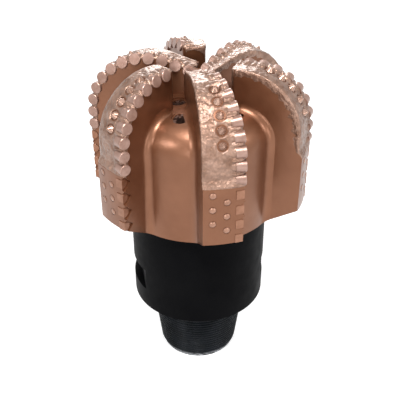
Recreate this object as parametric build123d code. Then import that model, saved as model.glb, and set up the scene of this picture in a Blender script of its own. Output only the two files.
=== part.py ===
"""Six-blade PDC drill bit, 14 3/4 in, standing on its pin.

Frame: millimetres, +Z up along the bit's axis, origin at the centre of the pin's end face.
Blade 0 points along -Y.  Blades count counter-clockwise seen from the crown, and the
cutters face that way too.
"""

from build123d import *
from math import asin, atan, cos, degrees, radians, sin, tan
import os

# ---------------------------------------------------------------- sizes
# Crown, general
BLADES = 6
GAUGE_D = 374.65            # 14 3/4 in gauge diameter
PAD_Z = 350.0               # lower end of the gauge pads
PAD_LENGTH = 98.0           # height of the smooth gauge pad
PAD_RELIEF = 1.0            # pad surface under full gauge, on the radius
PAD_STEP = 5.0              # drop from the pad to the blade's rough land
PAD_BEVEL_H = 12.0          # height of the bevel that makes that drop
FOOT_Z = 310.0              # joint face between crown and shank

# Cutting profile, measured at the cutters' centres
SHOULDER_Z = 484.0          # where the straight gauge line turns into the shoulder arc
SHOULDER_R = 95.0           # radius of the shoulder and nose arc
CONE_ANGLE = 18.0           # slope of the inner cone
LAND_RISE = 2.6             # land outside the line of the cutters' centres

# Blades, in plan
LEAD_OFFSET = 1.5           # leading wall ahead of the blade's centre line, at the axis
LEAD_ANGLE = 10.6           # angle between the leading wall and the centre line
TRAIL_OFFSET = 24.0         # trailing wall behind the centre line, at the axis
TRAIL_ANGLE = 1.8
SECONDARY_R = 62.0          # inner end of the short blades
END_ROUND = 7.0             # rounding of the short blades' inner ends

# Core between the blades
CORE_R = 132.0
CORE_TOP_Z = 524.0
CORE_SLOPE = 5.0            # fall of the core's crown, degrees
CORE_ROUND = 50.0           # rounding from the crown to the core's wall

# Face cutters
CUTTER_D = 19.05
CUTTER_L = 16.0
CUTTER_PITCH = 22.3
CUTTER_BACK_RAKE = 15.0
CUTTER_CHAMFER = 0.8
CUTTER_PROUD = 1.8          # cutter face ahead of the blade's leading wall
FIRST_CUTTER_Z = 458.0
INNER_CUTTER_R = 13.0
BRAZE_GAP = 0.1

# Gauge cutters
GAUGE_CUTTERS = 4
GAUGE_CUTTER_D = 15.9
GAUGE_CUTTER_L = 13.0
GAUGE_CUTTER_PITCH = 26.0
GAUGE_CUTTER_SET = 6.6      # centre inside the gauge radius
NOTCH_SIDE = 19.0           # diamond-shaped notch round each gauge cutter
NOTCH_DEPTH = 3.0

# Cone-pointed studs
STUDS = 5
STUD_D = 13.0
STUD_L = 16.0
STUD_POINT = 6.5            # height of the point above the land
STUD_TIP_D = 3.0
STUD_FIRST_ANGLE = 18.0     # up from the horizontal, on the shoulder arc
STUD_STEP_ANGLE = 13.0
STUD_Y = 1.0
STUD_RING = 1.6             # width of the shallow ring round a stud
STUD_RING_DEPTH = 1.0

# Gauge buttons
BUTTON_D = 10.0
BUTTON_L = 9.0
BUTTON_RING = 1.2
BUTTON_RING_DEPTH = 0.8
BUTTON_PITCH = 25.0
BUTTON_TOP_Z = 438.0
BUTTON_STAGGER = 13.0
BUTTON_COLUMNS = (-15.0, 7.0)
BUTTON_ROWS = 3

# Nozzles
NOZZLE_D = 24.0
NOZZLE_L = 24.0
NOZZLE_JET_D = 11.0
NOZZLE_MOUTH_D = 17.0
NOZZLE_KEYS = 6
NOZZLE_GAP = 0.15
NOZZLE_SINK = 5.0           # top of a nozzle below the core's surface
PORT_MOUTH_D = 29.0
PORT_MOUTH_DEPTH = 3.5
PASSAGE_D = 16.0
OUTER_NOZZLE_R = 86.0
OUTER_NOZZLE_TILT = 25.0
INNER_NOZZLE_R = 42.0
INNER_NOZZLE_TILT = 8.0
SEAL_SECTION_D = 3.0
SEAL_DROP = 11.0            # seal below the nozzle's top face

# Shank and API 7 5/8 in regular pin
SHANK_D = 241.3
SHANK_CHAMFER = 3.0
PIN_L = 133.35
PIN_BASE_D = 177.8
PIN_TAPER = 0.25            # on the diameter
THREAD_DEPTH = 2.6          # the cone is drawn at the thread's roots
RELIEF_L = 12.0
RELIEF_DEPTH = 3.0
BORE_D = 95.25
BORE_BEVEL = 8.0
BREAKER_ACROSS = 215.0
BREAKER_H = 42.0
BREAKER_Z = 40.0            # lower ledge above the pin's shoulder
SPIGOT_D = 150.0
SPIGOT_L = 34.0
SPIGOT_GAP = 0.15
PLENUM_TOP_Z = 440.0
PLENUM_ROUND = 30.0
WELD_W = 9.0
WELD_H = 7.0

# ---------------------------------------------------------------- derived
GAUGE_R = GAUGE_D / 2
CUTTER_R = CUTTER_D / 2
CENTRE_R = GAUGE_R - CUTTER_R                   # cutters' centres on the gauge line
ARC_X = CENTRE_R - SHOULDER_R                   # centre of the shoulder arc
LAND_R = SHOULDER_R + LAND_RISE
PAD_R = GAUGE_R - PAD_RELIEF
PAD_TOP = PAD_Z + PAD_LENGTH
TOP_Z = SHOULDER_Z + LAND_R
SHANK_R = SHANK_D / 2
BLADE_STEP = 360 / BLADES
TOOL_OVER = 10.0                                # how far a cutting tool runs past what it cuts
LEAD_DIR = Vector(-sin(radians(LEAD_ANGLE)), cos(radians(LEAD_ANGLE)), 0)


def around(shape, blade):
    """Turn a shape made on the +X axis to its blade's place."""
    return Rot(0, 0, -90 + blade * BLADE_STEP) * shape


def is_primary(blade):
    return blade % 2 == 0


def revolved(points):
    """Solid of revolution about Z from a closed outline of (radius, height) points."""
    outline = Plane.XZ * make_face(Polyline(*points, close=True))
    return revolve(outline, Axis.Z)


def lead_y(x):
    """Place of the leading wall across the blade, at a distance from the axis."""
    return LEAD_OFFSET + x * tan(radians(LEAD_ANGLE))


# ---------------------------------------------------------------- crown
def land_profile():
    """Half section that bounds the blades: pad, bevel, shoulder, nose and cone."""
    land_x = ARC_X + LAND_R
    cone = radians(CONE_ANGLE)
    cone_x = ARC_X - LAND_R * sin(cone)
    cone_z = SHOULDER_Z + LAND_R * cos(cone)
    nose = CenterArc((ARC_X, SHOULDER_Z), LAND_R, 0, 90 + CONE_ANGLE)
    lower = Polyline(
        (0, FOOT_Z), (SHANK_R, FOOT_Z), (PAD_R, PAD_Z), (PAD_R, PAD_TOP),
        (land_x, PAD_TOP + PAD_BEVEL_H), (land_x, SHOULDER_Z),
    )
    inner = Polyline((cone_x, cone_z), (0, cone_z - cone_x * tan(cone)), (0, FOOT_Z))
    return revolve(Plane.XZ * make_face(lower + nose + inner), Axis.Z)


def core_solid():
    """Body between the blades: a straight wall under a rounded crown."""
    edge_z = CORE_TOP_Z - CORE_R * tan(radians(CORE_SLOPE))
    low = FOOT_Z - 2 * TOOL_OVER
    section = make_face(Polyline(
        (0, low), (CORE_R, low), (CORE_R, edge_z), (0, CORE_TOP_Z), close=True,
    ))
    corner = section.vertices().group_by(Axis.X)[-1].sort_by(Axis.Y)[-1]
    section = fillet(corner, CORE_ROUND)
    return revolve(Plane.XZ * section, Axis.Z)


def blade_plan(blade):
    """Outline of one blade seen along the bit's axis."""
    inner = 0.0 if is_primary(blade) else SECONDARY_R
    outer = GAUGE_R + 4 * TOOL_OVER
    trail = tan(radians(TRAIL_ANGLE))
    return make_face(Polyline(
        (inner, -TRAIL_OFFSET - inner * trail), (outer, -TRAIL_OFFSET - outer * trail),
        (outer, lead_y(outer)), (inner, lead_y(inner)), close=True,
    ))


def slot_tools():
    """What is cut away between the blades, down to the core, with rounded inner ends."""
    plan = make_face(CenterArc((0, 0), GAUGE_R + TOOL_OVER, 0, 360))
    for blade in range(BLADES):
        plan = plan - around(blade_plan(blade), blade)
    core = core_solid()
    tools = []
    for face in plan.faces():
        ends = [v for v in face.vertices() if SECONDARY_R * 0.95 < Vector(v.X, v.Y).length < GAUGE_R]
        face = face.fillet_2d(END_ROUND, ends)
        block = Pos(0, 0, FOOT_Z - TOOL_OVER) * extrude(face, TOP_Z - FOOT_Z + 2 * TOOL_OVER)
        tools.append(block - core)
    return tools


# ---------------------------------------------------------------- cutters
def profile_point(s):
    """Point and outward normal on the cutters' line, s up from the lowest face cutter."""
    straight = SHOULDER_Z - FIRST_CUTTER_Z
    arc = SHOULDER_R * radians(90 + CONE_ANGLE)
    if s <= straight:
        return Vector(CENTRE_R, 0, FIRST_CUTTER_Z + s), Vector(1, 0, 0)
    turn = min(s - straight, arc) / SHOULDER_R
    normal = Vector(cos(turn), 0, sin(turn))
    point = Vector(ARC_X, 0, SHOULDER_Z) + normal * SHOULDER_R
    rest = max(0.0, s - straight - arc)
    along = Vector(-sin(turn), 0, cos(turn))
    return point + along * rest, normal


def cutter_plane(point, normal, rake, proud):
    """Plane of a cutter's face: its Z looks ahead, its Y away from the blade."""
    x = point.X
    out = Vector(normal.X * cos(radians(LEAD_ANGLE)), normal.X * sin(radians(LEAD_ANGLE)), normal.Z)
    out = out.normalized()
    ahead = LEAD_DIR * cos(radians(rake)) + out * sin(radians(rake))
    ahead = ahead.normalized()
    side = LEAD_DIR.cross(out)
    centre = Vector(x, lead_y(x), point.Z) + LEAD_DIR * proud
    return Plane(origin=centre, x_dir=side, z_dir=ahead)


def face_cutter_planes(blade):
    inner = INNER_CUTTER_R if is_primary(blade) else SECONDARY_R + CUTTER_R
    planes = []
    s = 0.0
    point, normal = profile_point(s)
    while point.X >= inner:
        planes.append(cutter_plane(point, normal, CUTTER_BACK_RAKE, CUTTER_PROUD))
        s += CUTTER_PITCH
        point, normal = profile_point(s)
    return planes


def gauge_cutter_planes():
    planes = []
    for row in range(GAUGE_CUTTERS):
        z = PAD_TOP - GAUGE_CUTTER_PITCH * (row + 0.5)
        point = Vector(GAUGE_R - GAUGE_CUTTER_SET, 0, z)
        planes.append(cutter_plane(point, Vector(1, 0, 0), 0, -NOTCH_DEPTH + 1.0))
    return planes


def cutter(plane, diameter, length):
    """One cutter: carbide stud with its diamond face, made as one sintered piece."""
    body = Cylinder(diameter / 2, length, align=(Align.CENTER, Align.CENTER, Align.MAX))
    rim = body.edges().filter_by(GeomType.CIRCLE).sort_by(Axis.Z)[-1]
    return plane * chamfer(rim, CUTTER_CHAMFER)


def pocket(plane, diameter, length):
    ahead = 12.0
    tool = Cylinder(diameter / 2 + BRAZE_GAP, length + ahead,
                    align=(Align.CENTER, Align.CENTER, Align.MIN))
    return plane * Pos(0, 0, -length) * tool


def notch(plane):
    """Diamond-shaped recess in the leading edge round a gauge cutter."""
    tool = Box(NOTCH_SIDE, NOTCH_SIDE, NOTCH_DEPTH + 4, align=(Align.CENTER, Align.CENTER, Align.MIN))
    return plane * Pos(0, 0, -1.0) * Rot(0, 0, 45) * tool


# ---------------------------------------------------------------- studs and buttons
def stud_planes():
    planes = []
    for row in range(STUDS):
        turn = radians(STUD_FIRST_ANGLE + row * STUD_STEP_ANGLE)
        normal = Vector(cos(turn), 0, sin(turn))
        origin = Vector(ARC_X, STUD_Y, SHOULDER_Z) + normal * LAND_R
        planes.append(Plane(origin=origin, x_dir=Vector(0, 1, 0), z_dir=normal))
    return planes


def stud(plane):
    shaft = Cylinder(STUD_D / 2, STUD_L, align=(Align.CENTER, Align.CENTER, Align.MAX))
    point = Cone(STUD_D / 2, STUD_TIP_D / 2, STUD_POINT, align=(Align.CENTER, Align.CENTER, Align.MIN))
    return plane * (shaft + point)


def ringed_socket(plane, diameter, length, ring, ring_depth):
    hole = Cylinder(diameter / 2 + BRAZE_GAP, length + 6, align=(Align.CENTER, Align.CENTER, Align.MIN))
    rim = Cylinder(diameter / 2 + ring, ring_depth + 6, align=(Align.CENTER, Align.CENTER, Align.MIN))
    return plane * (Pos(0, 0, -length) * hole + Pos(0, 0, -ring_depth) * rim)


def button_planes():
    planes = []
    for column, y in enumerate(BUTTON_COLUMNS):
        turn = asin(y / PAD_R)
        normal = Vector(cos(turn), sin(turn), 0)
        for row in range(BUTTON_ROWS):
            z = BUTTON_TOP_Z - column * BUTTON_STAGGER - row * BUTTON_PITCH
            origin = normal * PAD_R + Vector(0, 0, z)
            planes.append(Plane(origin=origin, x_dir=Vector(0, 0, 1), z_dir=normal))
    return planes


def button(plane):
    """Flat-ended carbide button with a small domed face that ends at full gauge."""
    body = Cylinder(BUTTON_D / 2, BUTTON_L + PAD_RELIEF, align=(Align.CENTER, Align.CENTER, Align.MAX))
    rim = body.edges().filter_by(GeomType.CIRCLE).sort_by(Axis.Z)[-1]
    return plane * Pos(0, 0, PAD_RELIEF) * chamfer(rim, PAD_RELIEF * 0.9, BUTTON_D * 0.2)


# ---------------------------------------------------------------- nozzles
def core_surface_z(r):
    return CORE_TOP_Z - r * tan(radians(CORE_SLOPE))


def nozzle_planes():
    """Planes on the core's surface: one outer port per slot, one inner port per long blade."""
    planes = []
    for slot in range(BLADES):
        turn = radians(-90 + (slot + 0.5) * BLADE_STEP)
        planes.append(port_plane(OUTER_NOZZLE_R, turn, OUTER_NOZZLE_TILT))
    for slot in range(0, BLADES, 2):
        turn = radians(-90 + (slot + 0.95) * BLADE_STEP)
        planes.append(port_plane(INNER_NOZZLE_R, turn, INNER_NOZZLE_TILT))
    return planes


def port_plane(r, turn, tilt):
    out = Vector(cos(turn), sin(turn), 0)
    axis = out * sin(radians(tilt)) + Vector(0, 0, cos(radians(tilt)))
    origin = out * r + Vector(0, 0, core_surface_z(r))
    return Plane(origin=origin, x_dir=Vector(-sin(turn), cos(turn), 0), z_dir=axis)


def nozzle(plane):
    """Screw-in jet nozzle: flared bore and a notched top for the spanner."""
    length = NOZZLE_L
    body = Cylinder(NOZZLE_D / 2, length, align=(Align.CENTER, Align.CENTER, Align.MAX))
    jet = Cylinder(NOZZLE_JET_D / 2, length * 2)
    flare = Cone(NOZZLE_JET_D / 2, NOZZLE_MOUTH_D / 2, length / 2, align=(Align.CENTER, Align.CENTER, Align.MAX))
    shape = body - jet - flare
    key = Box(NOZZLE_D * 0.3, NOZZLE_D * 0.16, 6.0)
    for index in range(NOZZLE_KEYS):
        turn = Rot(0, 0, index * 360 / NOZZLE_KEYS)
        shape = shape - turn * Pos(NOZZLE_D / 2 - NOZZLE_D * 0.08, 0, 0) * key
    return plane * Pos(0, 0, -NOZZLE_SINK) * shape


def seal(plane):
    ring = Torus(NOZZLE_D / 2 + SEAL_SECTION_D / 2, SEAL_SECTION_D / 2 - 0.05)
    return plane * Pos(0, 0, -NOZZLE_SINK - SEAL_DROP) * ring


def port(plane):
    seat_depth = NOZZLE_SINK + NOZZLE_L
    up = (Align.CENTER, Align.CENTER, Align.MAX)
    seat = Pos(0, 0, 10) * Cylinder(NOZZLE_D / 2 + NOZZLE_GAP, seat_depth + 10, align=up)
    mouth = Pos(0, 0, 10) * Cylinder(PORT_MOUTH_D / 2, PORT_MOUTH_DEPTH + 10, align=up)
    groove = Pos(0, 0, -NOZZLE_SINK - SEAL_DROP) * Cylinder(NOZZLE_D / 2 + SEAL_SECTION_D, SEAL_SECTION_D)
    passage_end = (plane.origin.Z - (PLENUM_TOP_Z - PLENUM_ROUND)) / plane.z_dir.Z
    passage = Cylinder(PASSAGE_D / 2, passage_end, align=up)
    return plane * (seat + mouth + groove + passage)


# ---------------------------------------------------------------- assembly
def crown_body():
    blank = land_profile()
    for slot in slot_tools():
        blank = blank - slot
    plenum = Cylinder(BORE_D / 2, PLENUM_TOP_Z - FOOT_Z + 1, align=(Align.CENTER, Align.CENTER, Align.MIN))
    top_rim = plenum.edges().filter_by(GeomType.CIRCLE).sort_by(Axis.Z)[-1]
    plenum = Pos(0, 0, FOOT_Z - 1) * fillet(top_rim, PLENUM_ROUND)
    socket = Cylinder(SPIGOT_D / 2 + SPIGOT_GAP, SPIGOT_L + 1, align=(Align.CENTER, Align.CENTER, Align.MIN))
    tools = [plenum, Pos(0, 0, FOOT_Z - 1) * socket]
    for blade in range(BLADES):
        for plane in face_cutter_planes(blade):
            tools.append(around(pocket(plane, CUTTER_D, CUTTER_L), blade))
        for plane in gauge_cutter_planes():
            tools.append(around(pocket(plane, GAUGE_CUTTER_D, GAUGE_CUTTER_L), blade))
            tools.append(around(notch(plane), blade))
        for plane in stud_planes():
            tools.append(around(ringed_socket(plane, STUD_D, STUD_L, STUD_RING, STUD_RING_DEPTH), blade))
        for plane in button_planes():
            tools.append(around(ringed_socket(plane, BUTTON_D, BUTTON_L, BUTTON_RING, BUTTON_RING_DEPTH), blade))
    tools += [port(plane) for plane in nozzle_planes()]
    return blank - tools


def shank():
    pin_small_r = (PIN_BASE_D - PIN_L * PIN_TAPER) / 2 - THREAD_DEPTH
    relief_r = PIN_BASE_D / 2 - RELIEF_DEPTH
    cone_top_r = (PIN_BASE_D - RELIEF_L * PIN_TAPER) / 2 - THREAD_DEPTH
    bore_r = BORE_D / 2
    top = FOOT_Z + SPIGOT_L
    body = revolved([
        (bore_r + BORE_BEVEL, 0), (pin_small_r - 2, 0), (pin_small_r, 2),
        (cone_top_r, PIN_L - RELIEF_L), (relief_r, PIN_L - RELIEF_L + 2), (relief_r, PIN_L),
        (SHANK_R - SHANK_CHAMFER, PIN_L), (SHANK_R, PIN_L + SHANK_CHAMFER),
        (SHANK_R, FOOT_Z - WELD_H), (SHANK_R - WELD_W, FOOT_Z), (SPIGOT_D / 2, FOOT_Z),
        (SPIGOT_D / 2, top), (bore_r, top), (bore_r, BORE_BEVEL * 2),
    ])
    slot = Pos(BREAKER_ACROSS / 2, 0, PIN_L + BREAKER_Z) * Box(
        SHANK_R, SHANK_D, BREAKER_H, align=(Align.MIN, Align.CENTER, Align.MIN))
    return body - slot - Rot(0, 0, 180) * slot


def weld_ring():
    return revolved([
        (SHANK_R - WELD_W, FOOT_Z), (SHANK_R, FOOT_Z - WELD_H), (SHANK_R, FOOT_Z),
    ])


def face_cutters(blade):
    return [around(cutter(p, CUTTER_D, CUTTER_L), blade) for p in face_cutter_planes(blade)]


def gauge_cutters(blade):
    """Gauge cutters, ground flush with the gauge diameter."""
    ground = Pos(0, 0, PAD_Z) * Cylinder(GAUGE_R, PAD_LENGTH, align=(Align.CENTER, Align.CENTER, Align.MIN))
    return [around(cutter(p, GAUGE_CUTTER_D, GAUGE_CUTTER_L) & ground, blade) for p in gauge_cutter_planes()]


def studs(blade):
    return [around(stud(p), blade) for p in stud_planes()]


def buttons(blade):
    return [around(button(p), blade) for p in button_planes()]


def export(shape, name):
    solids = shape if isinstance(shape, list) else [shape]
    solids = [solid for item in solids for solid in item.solids()]
    result = solids[0] if len(solids) == 1 else Compound(children=solids)
    result.label = name
    export_step(result, os.path.join("parts", name + ".step"))


os.makedirs("parts", exist_ok=True)
export(crown_body(), "crown_body")
export(shank(), "pin_shank")
export(weld_ring(), "weld_ring")
for number in range(BLADES):
    export(face_cutters(number), f"face_cutters_{number + 1}")
    export(gauge_cutters(number), f"gauge_cutters_{number + 1}")
    export(studs(number), f"cone_studs_{number + 1}")
    export(buttons(number), f"gauge_buttons_{number + 1}")
for number, port_place in enumerate(nozzle_planes()):
    export(nozzle(port_place), f"jet_nozzle_{number + 1}")
export([seal(place) for place in nozzle_planes()], "nozzle_seals")
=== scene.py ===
"""Looks of the drill bit: copper-painted crown, black shank, lumpy blade tops and pin thread."""

from math import atan2, cos, exp, pi, radians, sin, sqrt, tan

import bpy
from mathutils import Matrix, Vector, noise


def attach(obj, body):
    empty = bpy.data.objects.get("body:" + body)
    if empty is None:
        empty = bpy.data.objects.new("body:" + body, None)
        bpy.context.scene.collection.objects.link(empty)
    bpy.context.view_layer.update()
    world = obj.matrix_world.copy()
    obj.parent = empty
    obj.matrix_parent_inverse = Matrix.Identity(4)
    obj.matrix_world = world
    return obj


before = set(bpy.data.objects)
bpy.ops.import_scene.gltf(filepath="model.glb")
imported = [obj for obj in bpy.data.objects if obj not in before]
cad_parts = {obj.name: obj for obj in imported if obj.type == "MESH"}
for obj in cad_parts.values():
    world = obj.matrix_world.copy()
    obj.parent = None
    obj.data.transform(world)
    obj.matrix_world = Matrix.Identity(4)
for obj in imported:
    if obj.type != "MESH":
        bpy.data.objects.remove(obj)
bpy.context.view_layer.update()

MM = 0.001
BODY = "root"

# ---------------------------------------------------------------- sizes, in millimetres
BLADES = 6
GAUGE_R = 374.65 / 2
PAD_R = GAUGE_R - 1.0
PAD_TOP = 448.0
BEVEL_H = 12.0
CUTTER_R = 19.05 / 2
CUTTER_PITCH = 22.3
FIRST_CUTTER_Z = 458.0
INNER_CUTTER_R = 13.0
SHOULDER_Z = 484.0
SHOULDER_R = 95.0
CONE_ANGLE = radians(18.0)
LAND_RISE = 2.6
LAND_R = SHOULDER_R + LAND_RISE
ARC_X = GAUGE_R - CUTTER_R - SHOULDER_R
LEAD_OFFSET, LEAD_ANGLE = 1.5, radians(10.6)
TRAIL_OFFSET, TRAIL_ANGLE = 24.0, radians(1.8)
SECONDARY_R = 62.0
CUTTER_RAKE = radians(15.0)
CAP_FROM = 9.5                  # the coating covers a cutter's back this far behind its face
END_ROUND = 7.0
STUD_FIRST, STUD_STEP, STUDS = radians(18.0), radians(13.0), 5
STUD_Y, STUD_RING_R = 1.0, 8.4
CORE_R, CORE_TOP_Z, CORE_SLOPE, CORE_ROUND = 132.0, 524.0, radians(5.0), 50.0
FOOT_Z, SHANK_R, PAD_Z = 310.0, 120.65, 350.0
PIN_L, PIN_BASE_R, PIN_TAPER = 133.35, 177.8 / 2, 0.125
THREAD_DEPTH, THREAD_PITCH, RELIEF_L = 2.6, 6.35, 12.0
THREAD_START = 5.0
FILLET_R = 11.0
UNDER_SLOPE = (PAD_Z - FOOT_Z) / (PAD_R - SHANK_R)

# The rough coating: rows of points across a blade's top, one row each SKIN_STEP along it
SKIN_STEP, SKIN_ACROSS = 1.5, 40
TRAIL_ROWS, LEAD_ROWS = 6, 4            # points down the trailing and the leading flank
SKIN_SIDE = 13.0                        # how far it runs down the trailing flank
SKIN_HEIGHT = 0.95
LUMPS = ((1.1, 10.0), (0.75, 4.4), (0.35, 2.1))     # height and width of its lumps
WEB_HEIGHT, WEB_WIDTH = 3.4, 3.0        # ridges between the cutters
LONG_INNER_R = 14.0                     # inner end of a long blade's coating
THREAD_AROUND, THREAD_ROWS = 144, 10    # points round the pin, rows to one pitch
THREAD_SINK = 0.2                       # how far the thread's roots lie in the pin's cone
THREAD_FLAT, THREAD_FLANK = 1.25, 3.2   # width of its crest and steepness of its flanks
BLADE_SHIFT, EDGE_SHIFT = 57.0, 31.0    # each blade takes its lumps from another place in the noise
LEAD_TRIM = 0.985                       # keeps the coating's edge just inside the leading wall
FILLET_POINTS, FILLET_STEP = 8, 3.0
LONG_FILLET_R = 48.0                    # where a long blade's fillets end, near the centre


# ---------------------------------------------------------------- mesh helpers
def grid_piece(name, rows, material, closed=False):
    """A smooth-shaded surface from rows of points given in millimetres."""
    count = len(rows[0])
    points = [tuple(MM * c for c in p) for row in rows for p in row]
    faces = []
    for i in range(len(rows) - 1):
        for j in range(count if closed else count - 1):
            k = (j + 1) % count
            faces.append((i * count + j, i * count + k, (i + 1) * count + k, (i + 1) * count + j))
    mesh = bpy.data.meshes.new(name)
    mesh.from_pydata(points, [], faces)
    mesh.update()
    mesh.polygons.foreach_set("use_smooth", [True] * len(mesh.polygons))
    piece = bpy.data.objects.new(name, mesh)
    bpy.context.collection.objects.link(piece)
    mesh.materials.append(material)
    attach(piece, BODY)
    return piece


def placed(x, y, z, blade):
    """A point of a blade's own frame (x outwards, y ahead) in the bit's frame."""
    turn = -pi / 2 + blade * 2 * pi / BLADES
    return x * cos(turn) - y * sin(turn), x * sin(turn) + y * cos(turn), z


def smooth(a, b, v):
    t = min(1.0, max(0.0, (v - a) / (b - a)))
    return t * t * (3 - 2 * t)


# ---------------------------------------------------------------- materials
def new_material(name):
    material = bpy.data.materials.new(name)
    material.use_nodes = True
    tree = material.node_tree
    return material, tree, tree.nodes["Principled BSDF"]


def add_noise(tree, scale, detail=3.0, rough=0.5):
    coords = tree.nodes.new("ShaderNodeTexCoord")
    texture = tree.nodes.new("ShaderNodeTexNoise")
    texture.inputs["Scale"].default_value = scale
    texture.inputs["Detail"].default_value = detail
    texture.inputs["Roughness"].default_value = rough
    tree.links.new(coords.outputs["Object"], texture.inputs["Vector"])
    return texture.outputs["Fac"]


def ramp(tree, source, stops):
    node = tree.nodes.new("ShaderNodeValToRGB")
    elements = node.color_ramp.elements
    for element, (place, colour) in zip(elements, stops[:2]):
        element.position = place
        element.color = (*colour, 1)
    for place, colour in stops[2:]:
        elements.new(place).color = (*colour, 1)
    tree.links.new(source, node.inputs["Fac"])
    return node.outputs["Color"]


def spread(tree, source, low, high):
    node = tree.nodes.new("ShaderNodeMapRange")
    node.inputs["To Min"].default_value = low
    node.inputs["To Max"].default_value = high
    node.inputs["From Min"].default_value = 0.3
    node.inputs["From Max"].default_value = 0.7
    tree.links.new(source, node.inputs["Value"])
    return node.outputs["Result"]


def bump(tree, source, distance, strength, before=None):
    node = tree.nodes.new("ShaderNodeBump")
    node.inputs["Distance"].default_value = distance
    node.inputs["Strength"].default_value = strength
    tree.links.new(source, node.inputs["Height"])
    if before is not None:
        tree.links.new(before, node.inputs["Normal"])
    return node.outputs["Normal"]


def painted(name, dark, light, metallic, rough, lump_mm, grain_mm,
            patch=9.0, lump=60.0, grain=700.0, coat=0.0, shine=0.5):
    """Sprayed paint: patchy colour, uneven gloss, soft lumps and a fine grain."""
    material, tree, shader = new_material(name)
    patches = add_noise(tree, patch, 4.0, 0.6)
    tree.links.new(ramp(tree, patches, [(0.3, dark), (0.7, light)]), shader.inputs["Base Color"])
    gloss = add_noise(tree, patch * 6, 3.0)
    tree.links.new(spread(tree, gloss, rough - 0.05, rough + 0.07), shader.inputs["Roughness"])
    shader.inputs["Metallic"].default_value = metallic
    shader.inputs["Specular IOR Level"].default_value = shine
    shader.inputs["Coat Weight"].default_value = coat
    shader.inputs["Coat Roughness"].default_value = 0.26
    lumps = bump(tree, add_noise(tree, lump, 3.0), lump_mm * MM, 0.6)
    fine = bump(tree, add_noise(tree, grain, 2.0), grain_mm * MM, 0.5, lumps)
    tree.links.new(fine, shader.inputs["Normal"])
    return material


def pale_glint_rim(material, top_mm, fleck_grey):
    """Painted glints: pale grey flecks over the paint along the pin's lower edge."""
    tree = material.node_tree
    shader = tree.nodes["Principled BSDF"]
    coords = tree.nodes.new("ShaderNodeTexCoord")
    split = tree.nodes.new("ShaderNodeSeparateXYZ")
    tree.links.new(coords.outputs["Object"], split.inputs[0])
    glint_band = tree.nodes.new("ShaderNodeMapRange")
    glint_band.inputs["From Min"].default_value = top_mm * MM
    glint_band.inputs["From Max"].default_value = 0.3 * top_mm * MM
    tree.links.new(split.outputs["Z"], glint_band.inputs["Value"])
    glint_flecks = tree.nodes.new("ShaderNodeMath")
    glint_flecks.operation = "MULTIPLY"
    tree.links.new(glint_band.outputs["Result"], glint_flecks.inputs[0])
    tree.links.new(spread(tree, add_noise(tree, 90.0, 4.0, 0.7), -1.0, 2.4), glint_flecks.inputs[1])
    glint_flecks.use_clamp = True
    mix = tree.nodes.new("ShaderNodeMix")
    mix.data_type = "RGBA"
    paint = shader.inputs["Base Color"].links[0].from_socket
    tree.links.new(glint_flecks.outputs[0], mix.inputs["Factor"])
    tree.links.new(paint, mix.inputs["A"])
    mix.inputs["B"].default_value = (*fleck_grey, 1)
    tree.links.new(mix.outputs["Result"], shader.inputs["Base Color"])


COPPER = painted("copper_paint", (0.155, 0.057, 0.024), (0.210, 0.087, 0.043), 0.68, 0.35, 0.5, 0.05,
                 coat=0.25)
GROUND = painted("ground_cutter_paint", (0.200, 0.082, 0.040), (0.300, 0.142, 0.085), 0.65, 0.33, 0.4, 0.06,
                 patch=70.0, coat=0.25)
ROUGH = painted("copper_hardfacing", (0.154, 0.075, 0.044), (0.323, 0.197, 0.144), 0.65, 0.34, 4.0, 0.30,
                patch=60.0, lump=170.0, grain=900.0, coat=0.35)
FACES = painted("cutter_paint", (0.250, 0.138, 0.100), (0.370, 0.232, 0.188), 0.60, 0.34, 0.4, 0.06,
                patch=80.0, coat=0.30)
STUDS_PAINT = painted("stud_paint", (0.250, 0.130, 0.085), (0.430, 0.270, 0.205), 0.70, 0.25, 0.2, 0.04,
                      patch=90.0, coat=0.50)
BUTTON = painted("button_paint", (0.240, 0.112, 0.066), (0.340, 0.178, 0.118), 0.65, 0.30, 0.2, 0.04,
                 patch=60.0, coat=0.40)
JET = painted("nozzle_metal", (0.09, 0.05, 0.04), (0.22, 0.13, 0.10), 0.80, 0.36, 0.2, 0.05, patch=70.0)
SEAL = painted("seal_rubber", (0.02, 0.02, 0.02), (0.04, 0.04, 0.04), 0.0, 0.7, 0.1, 0.05)
BLACK = painted("shank_paint", (0.0015, 0.0015, 0.0020), (0.004, 0.004, 0.0045), 0.0, 0.46, 0.5, 0.04,
                shine=0.02)
THREAD = painted("thread_steel", (0.002, 0.003, 0.004), (0.007, 0.009, 0.012), 0.25, 0.30, 0.2, 0.05,
                 patch=40.0, shine=0.10)

# Painted glints: pale grey flecks on the lowest millimetres of the shank and the thread.
pale_glint_rim(BLACK, 9.0, (0.42, 0.43, 0.45))
pale_glint_rim(THREAD, 11.0, (0.42, 0.43, 0.45))

for node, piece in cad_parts.items():
    if node.startswith("face_cutters"):
        finish = FACES
    elif node.startswith("gauge_cutters"):
        finish = GROUND
    elif node.startswith("cone_studs"):
        finish = STUDS_PAINT
    elif node.startswith("gauge_buttons"):
        finish = BUTTON
    elif node.startswith("jet_nozzle"):
        finish = JET
    elif node == "nozzle_seals":
        finish = SEAL
    elif node == "crown_body":
        finish = COPPER
    else:
        finish = BLACK
    piece.data.materials.clear()
    piece.data.materials.append(finish)


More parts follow.
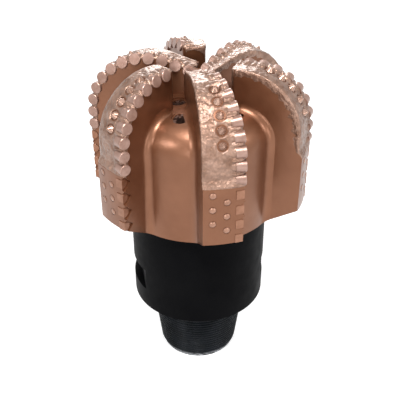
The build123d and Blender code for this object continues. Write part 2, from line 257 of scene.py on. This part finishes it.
# ---------------------------------------------------------------- lumpy blade tops
def land_point(s):
    """Point (r, z) and outward normal on the blade's top, s up from the pad's upper edge."""
    land_x = ARC_X + LAND_R
    bevel_len = sqrt((PAD_R - land_x) ** 2 + BEVEL_H ** 2)
    if s < bevel_len:
        t = s / bevel_len
        slope = atan2(PAD_R - land_x, BEVEL_H)
        return PAD_R + (land_x - PAD_R) * t, PAD_TOP + BEVEL_H * t, cos(slope), sin(slope)
    s -= bevel_len
    straight = SHOULDER_Z - PAD_TOP - BEVEL_H
    if s < straight:
        return land_x, PAD_TOP + BEVEL_H + s, 1.0, 0.0
    s -= straight
    turn = min(s / LAND_R, pi / 2 + CONE_ANGLE)
    rest = max(0.0, s - LAND_R * turn)
    r = ARC_X + LAND_R * cos(turn) - rest * sin(turn)
    z = SHOULDER_Z + LAND_R * sin(turn) + rest * cos(turn)
    return r, z, cos(turn), sin(turn)


def cutter_places(primary):
    """Where the face cutters' centres lie along the blade's top."""
    start = FIRST_CUTTER_Z - PAD_TOP + 1.0
    straight = SHOULDER_Z - FIRST_CUTTER_Z
    inner = INNER_CUTTER_R if primary else SECONDARY_R + CUTTER_R
    places = []
    s = 0.0
    while True:
        turn = min(max(0.0, s - straight) / SHOULDER_R, pi / 2 + CONE_ANGLE)
        rest = max(0.0, s - straight - SHOULDER_R * turn)
        if ARC_X + SHOULDER_R * cos(turn) - rest * sin(turn) < inner:
            return places
        places.append(start + min(s, straight) + LAND_R * turn + rest)
        s += CUTTER_PITCH


def stud_places():
    first = PAD_TOP + BEVEL_H
    base = sqrt((PAD_R - ARC_X - LAND_R) ** 2 + BEVEL_H ** 2) + SHOULDER_Z - first
    return [base + LAND_R * (STUD_FIRST + k * STUD_STEP) for k in range(STUDS)]


def skin_height(s, y, y_lead, lump, cutters, studs):
    """Height of the coating over the blade's top, without the fall to its edges."""
    height = SKIN_HEIGHT + lump
    near = min(abs(s - c) for c in cutters)
    behind = y_lead - y
    between = exp(-((near - CUTTER_PITCH / 2) / WEB_WIDTH) ** 2)
    web = between * smooth(24, 15, behind) * smooth(-1, 3, behind)
    back = sqrt(max(0.0, (CUTTER_R + 0.7) ** 2 - near * near)) - LAND_RISE
    back -= max(0.0, behind) * tan(CUTTER_RAKE)
    cover = smooth(CAP_FROM - 1.2, CAP_FROM + 1.2, behind + 2.2 * lump) * smooth(26, 17, behind)
    height += WEB_HEIGHT * web
    height = max(height, height * (1 - cover) + (back + 0.9 + 0.5 * lump) * cover)
    for c in studs:
        gap = sqrt((s - c) ** 2 + (y - STUD_Y) ** 2)
        height -= smooth(STUD_RING_R + 2, STUD_RING_R - 0.5, gap) * (height + 1.0)
        height += 0.5 * exp(-((gap - STUD_RING_R - 2) / 1.2) ** 2)
    return height


def hardfacing(blade):
    """Rough coating over one blade's top: webs between the cutters, humps behind them."""
    primary = blade % 2 == 0
    cutters = cutter_places(primary)
    studs = stud_places()
    inner = LONG_INNER_R if primary else SECONDARY_R - 4
    rows = []
    s = 0.0
    while True:
        r, z, nr, nz = land_point(s)
        if r < inner:
            break
        y_lead = LEAD_OFFSET + r * tan(LEAD_ANGLE) * LEAD_TRIM
        y_trail = -TRAIL_OFFSET - r * tan(TRAIL_ANGLE)
        y_trail = max(y_trail, -0.9 * r)
        ends = smooth(0, 2.5, s) * (smooth(0, 6, r - inner) if primary else 1.0)
        uneven = 0.9 + 0.5 * noise.noise(Vector((s / 9, blade * EDGE_SHIFT, 0)))
        flank = SKIN_SIDE * smooth(-6, 40, s) * uneven
        row = []
        for j in range(-TRAIL_ROWS, SKIN_ACROSS + LEAD_ROWS + 1):
            down = 0.0
            if j < 0:
                y, down, wall = y_trail, flank * (-j / TRAIL_ROWS), -1
            elif j > SKIN_ACROSS:
                y, down, wall = y_lead, SKIN_SIDE * 0.5 * (j - SKIN_ACROSS) / LEAD_ROWS, 1
            else:
                y, wall = y_trail + (y_lead - y_trail) * j / SKIN_ACROSS, 0
            edge = min(y - y_trail, y_lead - y)
            place = Vector((s, y - 1.4 * down, blade * BLADE_SHIFT))
            lump = sum(high * noise.noise(place / wide) for high, wide in LUMPS)
            height = skin_height(s, y, y_lead, lump, cutters, studs)
            height *= ends * (0.25 + 0.75 * smooth(0.0, 5.0, edge))
            height -= 0.5 * (1 - ends)
            if wall == 0:
                rr = r + nr * height
                zz = z + nz * height
                x = sqrt(max(1.0, rr * rr - y * y))
                if not primary:
                    near_edge = min(END_ROUND, max(0.0, END_ROUND - edge))
                    corner = END_ROUND - sqrt(END_ROUND ** 2 - near_edge ** 2)
                    low = SECONDARY_R + corner - 0.9 - 0.4 * lump
                    zz -= max(0.0, low - x) * 2.2
                    x = max(x, low)
                row.append(placed(x, y, zz, blade))
            else:
                fade = 1 - smooth(flank * 0.55, flank, down) if wall < 0 else 1 - smooth(2.0, 4.4, down)
                out = (0.5 + 0.8 * max(-0.4, lump)) * fade - 0.35 * (1 - fade)
                out *= ends if ends > 0.05 else -1
                x = sqrt(max(1.0, r * r - y * y)) - nr * down
                if not primary:
                    x = max(x, SECONDARY_R + END_ROUND)
                row.append(placed(x, y + wall * out, z - nz * down, blade))
        rows.append(row)
        s += SKIN_STEP
    return grid_piece(f"hardfacing_{blade + 1}", rows, ROUGH)


# ---------------------------------------------------------------- fillets of the slots
def core_point(t):
    """Point (r, z) and normal along the core, t in millimetres up from its foot."""
    foot = FOOT_Z + (CORE_R - SHANK_R) * (PAD_Z - FOOT_Z) / (PAD_R - SHANK_R)
    turn_all = pi / 2 - CORE_SLOPE
    back = CORE_ROUND * tan(turn_all / 2)
    edge_z = CORE_TOP_Z - CORE_R * tan(CORE_SLOPE)
    straight = edge_z - back - foot
    if t < straight:
        return CORE_R, foot + t, 1.0, 0.0
    turn = min((t - straight) / CORE_ROUND, turn_all)
    rest = max(0.0, t - straight - CORE_ROUND * turn)
    r = CORE_R - CORE_ROUND + CORE_ROUND * cos(turn) - rest * sin(turn)
    z = foot + straight + CORE_ROUND * sin(turn) + rest * cos(turn)
    return r, z, cos(turn), sin(turn)


def slot_fillet(blade, ahead):
    """Rounded inner corner between a blade's wall and the core."""
    rows = []
    inner = LONG_FILLET_R if blade % 2 == 0 else SECONDARY_R + 12
    t = 0.0
    while True:
        r, z, nr, nz = core_point(t)
        if r < inner:
            break
        if ahead:
            slope, offset, side = tan(LEAD_ANGLE), LEAD_OFFSET, 1
        else:
            slope, offset, side = -tan(TRAIL_ANGLE), -TRAIL_OFFSET, -1
        lean = sqrt(1 + slope * slope)
        x = r
        for _ in range(6):
            x = sqrt(max(1.0, r * r - (offset + slope * x) ** 2))
        y = offset + slope * x
        wall = Vector((-slope / lean, 1 / lean, 0)) * side
        normal = Vector((nr * x / r, nr * y / r, nz))
        floor = (wall - normal * wall.dot(normal)).normalized()
        climb = (normal - wall * normal.dot(wall)).normalized()
        size = FILLET_R * min(1.0, 0.35 + (r - inner) / 14.0)
        row = []
        for k in range(FILLET_POINTS + 1):
            a = k / FILLET_POINTS * pi / 2
            out = size * (1 - sin(a))
            p = Vector((x, y, z)) + floor * out + climb * size * (1 - cos(a))
            p -= normal * (out * out / (2 * r) + 0.04) + wall * 0.1 * smooth(0.7, 1, k / FILLET_POINTS)
            under = FOOT_Z + (Vector((p.x, p.y)).length - SHANK_R) * UNDER_SLOPE
            row.append(placed(p.x, p.y, max(p.z, under), blade))
        rows.append(row)
        t += FILLET_STEP
    side_name = "lead" if ahead else "trail"
    return grid_piece(f"slot_fillet_{side_name}_{blade + 1}", rows, COPPER)


# ---------------------------------------------------------------- pin thread
def pin_thread():
    """Right-hand taper thread, four turns to the inch, over the plain cone of the pin."""
    around = THREAD_AROUND
    top = PIN_L - RELIEF_L
    step = THREAD_PITCH / THREAD_ROWS
    rows = []
    z = THREAD_START
    while z <= top:
        crest = PIN_BASE_R - PIN_TAPER * (PIN_L - z)
        ends = smooth(0, THREAD_PITCH, z - THREAD_START) * smooth(0, THREAD_PITCH, top - z)
        row = []
        for j in range(around):
            angle = 2 * pi * j / around
            phase = (z / THREAD_PITCH - j / around) % 1.0
            flank = min(1.0, max(0.0, THREAD_FLAT - abs(phase - 0.5) * THREAD_FLANK))
            r = crest - THREAD_DEPTH - THREAD_SINK + (THREAD_DEPTH + THREAD_SINK) * flank * ends
            row.append((r * cos(angle), r * sin(angle), z))
        rows.append(row)
        z += step
    return grid_piece("pin_thread", rows, THREAD, closed=True)


for blade in range(BLADES):
    hardfacing(blade)
    slot_fillet(blade, True)
    slot_fillet(blade, False)
pin_thread()


# ---------------------------------------------------------------- floor, light, camera
def seen_rays(tree):
    """1 for camera, glossy and transmission rays, 0 for those that only light."""
    rays = tree.nodes.new("ShaderNodeLightPath")
    seen = rays.outputs["Is Camera Ray"]
    for kind in ("Is Glossy Ray", "Is Transmission Ray"):
        either = tree.nodes.new("ShaderNodeMath")
        either.operation = "MAXIMUM"
        tree.links.new(seen, either.inputs[0])
        tree.links.new(rays.outputs[kind], either.inputs[1])
        seen = either.outputs[0]
    return seen


def studio_floor(name, shade, glow):
    """Plain floor that glows only where it is seen, and less near the bit, to keep its shadow."""
    material, tree, shader = new_material(name)
    shader.inputs["Base Color"].default_value = (*shade, 1)
    shader.inputs["Roughness"].default_value = 0.9
    shader.inputs["Specular IOR Level"].default_value = 0.1
    shader.inputs["Emission Color"].default_value = (1, 1, 1, 1)
    coords = tree.nodes.new("ShaderNodeTexCoord")
    away = tree.nodes.new("ShaderNodeVectorMath")
    away.operation = "LENGTH"
    tree.links.new(coords.outputs["Object"], away.inputs[0])
    level = tree.nodes.new("ShaderNodeMapRange")
    level.inputs["From Min"].default_value = 0.6
    level.inputs["From Max"].default_value = 2.5
    level.inputs["To Min"].default_value = glow
    level.inputs["To Max"].default_value = 1.0
    tree.links.new(away.outputs["Value"], level.inputs["Value"])
    amount = tree.nodes.new("ShaderNodeMath")
    amount.operation = "MULTIPLY"
    tree.links.new(level.outputs["Result"], amount.inputs[0])
    tree.links.new(seen_rays(tree), amount.inputs[1])
    tree.links.new(amount.outputs[0], shader.inputs["Emission Strength"])
    return material


floor_mesh = bpy.data.meshes.new("floor")
FLOOR_HALF = 6.0
floor_mesh.from_pydata(
    [(-FLOOR_HALF, -FLOOR_HALF, 0), (FLOOR_HALF, -FLOOR_HALF, 0), (FLOOR_HALF, FLOOR_HALF, 0),
     (-FLOOR_HALF, FLOOR_HALF, 0)], [], [(0, 1, 2, 3)])
floor = bpy.data.objects.new("floor", floor_mesh)
bpy.context.collection.objects.link(floor)
floor_mesh.materials.append(studio_floor("floor_white", (0.6, 0.6, 0.6), 0.75))

world = bpy.data.worlds.new("studio")
bpy.context.scene.world = world
world.use_nodes = True
tree = world.node_tree
background = tree.nodes["Background"]
level = tree.nodes.new("ShaderNodeMapRange")
level.inputs["To Min"].default_value = 0.16
level.inputs["To Max"].default_value = 1.0
tree.links.new(seen_rays(tree), level.inputs["Value"])
tree.links.new(level.outputs["Result"], background.inputs["Strength"])
background.inputs["Color"].default_value = (1, 1, 1, 1)


def area_light(name, place, target, size, power):
    data = bpy.data.lights.new(name, "AREA")
    data.shape = "DISK"
    data.size = size
    data.energy = power
    lamp = bpy.data.objects.new(name, data)
    bpy.context.collection.objects.link(lamp)
    lamp.location = place
    lamp.rotation_euler = (Vector(target) - Vector(place)).to_track_quat("-Z", "Y").to_euler()


CENTRE = (0, 0, 0.4)
area_light("key", (-1.5, -1.1, 1.3), CENTRE, 0.6, 13)
area_light("fill", (1.4, -1.2, 1.2), CENTRE, 0.6, 9)
area_light("top", (-0.2, -0.9, 2.2), CENTRE, 0.8, 48)
area_light("low_left", (-0.6, -1.8, 0.6), CENTRE, 0.6, 6)
area_light("low_right", (0.8, -1.7, 0.5), CENTRE, 0.6, 5)
area_light("back", (0.3, 1.6, 1.3), CENTRE, 0.8, 14)

CAMERA_TURN = radians(-11.2)
CAMERA_AWAY, CAMERA_HEIGHT, CAMERA_PITCH = 1.0225, 0.9496, radians(31.72)
camera_data = bpy.data.cameras.new("camera")
camera_data.sensor_width = 36.0
camera_data.lens = 36.0 * 667.5 / 400
camera_data.shift_x = 0.004
camera = bpy.data.objects.new("camera", camera_data)
bpy.context.collection.objects.link(camera)
camera.location = (CAMERA_AWAY * sin(CAMERA_TURN), -CAMERA_AWAY * cos(CAMERA_TURN), CAMERA_HEIGHT)
camera.rotation_euler = (pi / 2 - CAMERA_PITCH, 0, CAMERA_TURN)
bpy.context.scene.camera = camera
bpy.context.scene.view_settings.view_transform = "Standard"
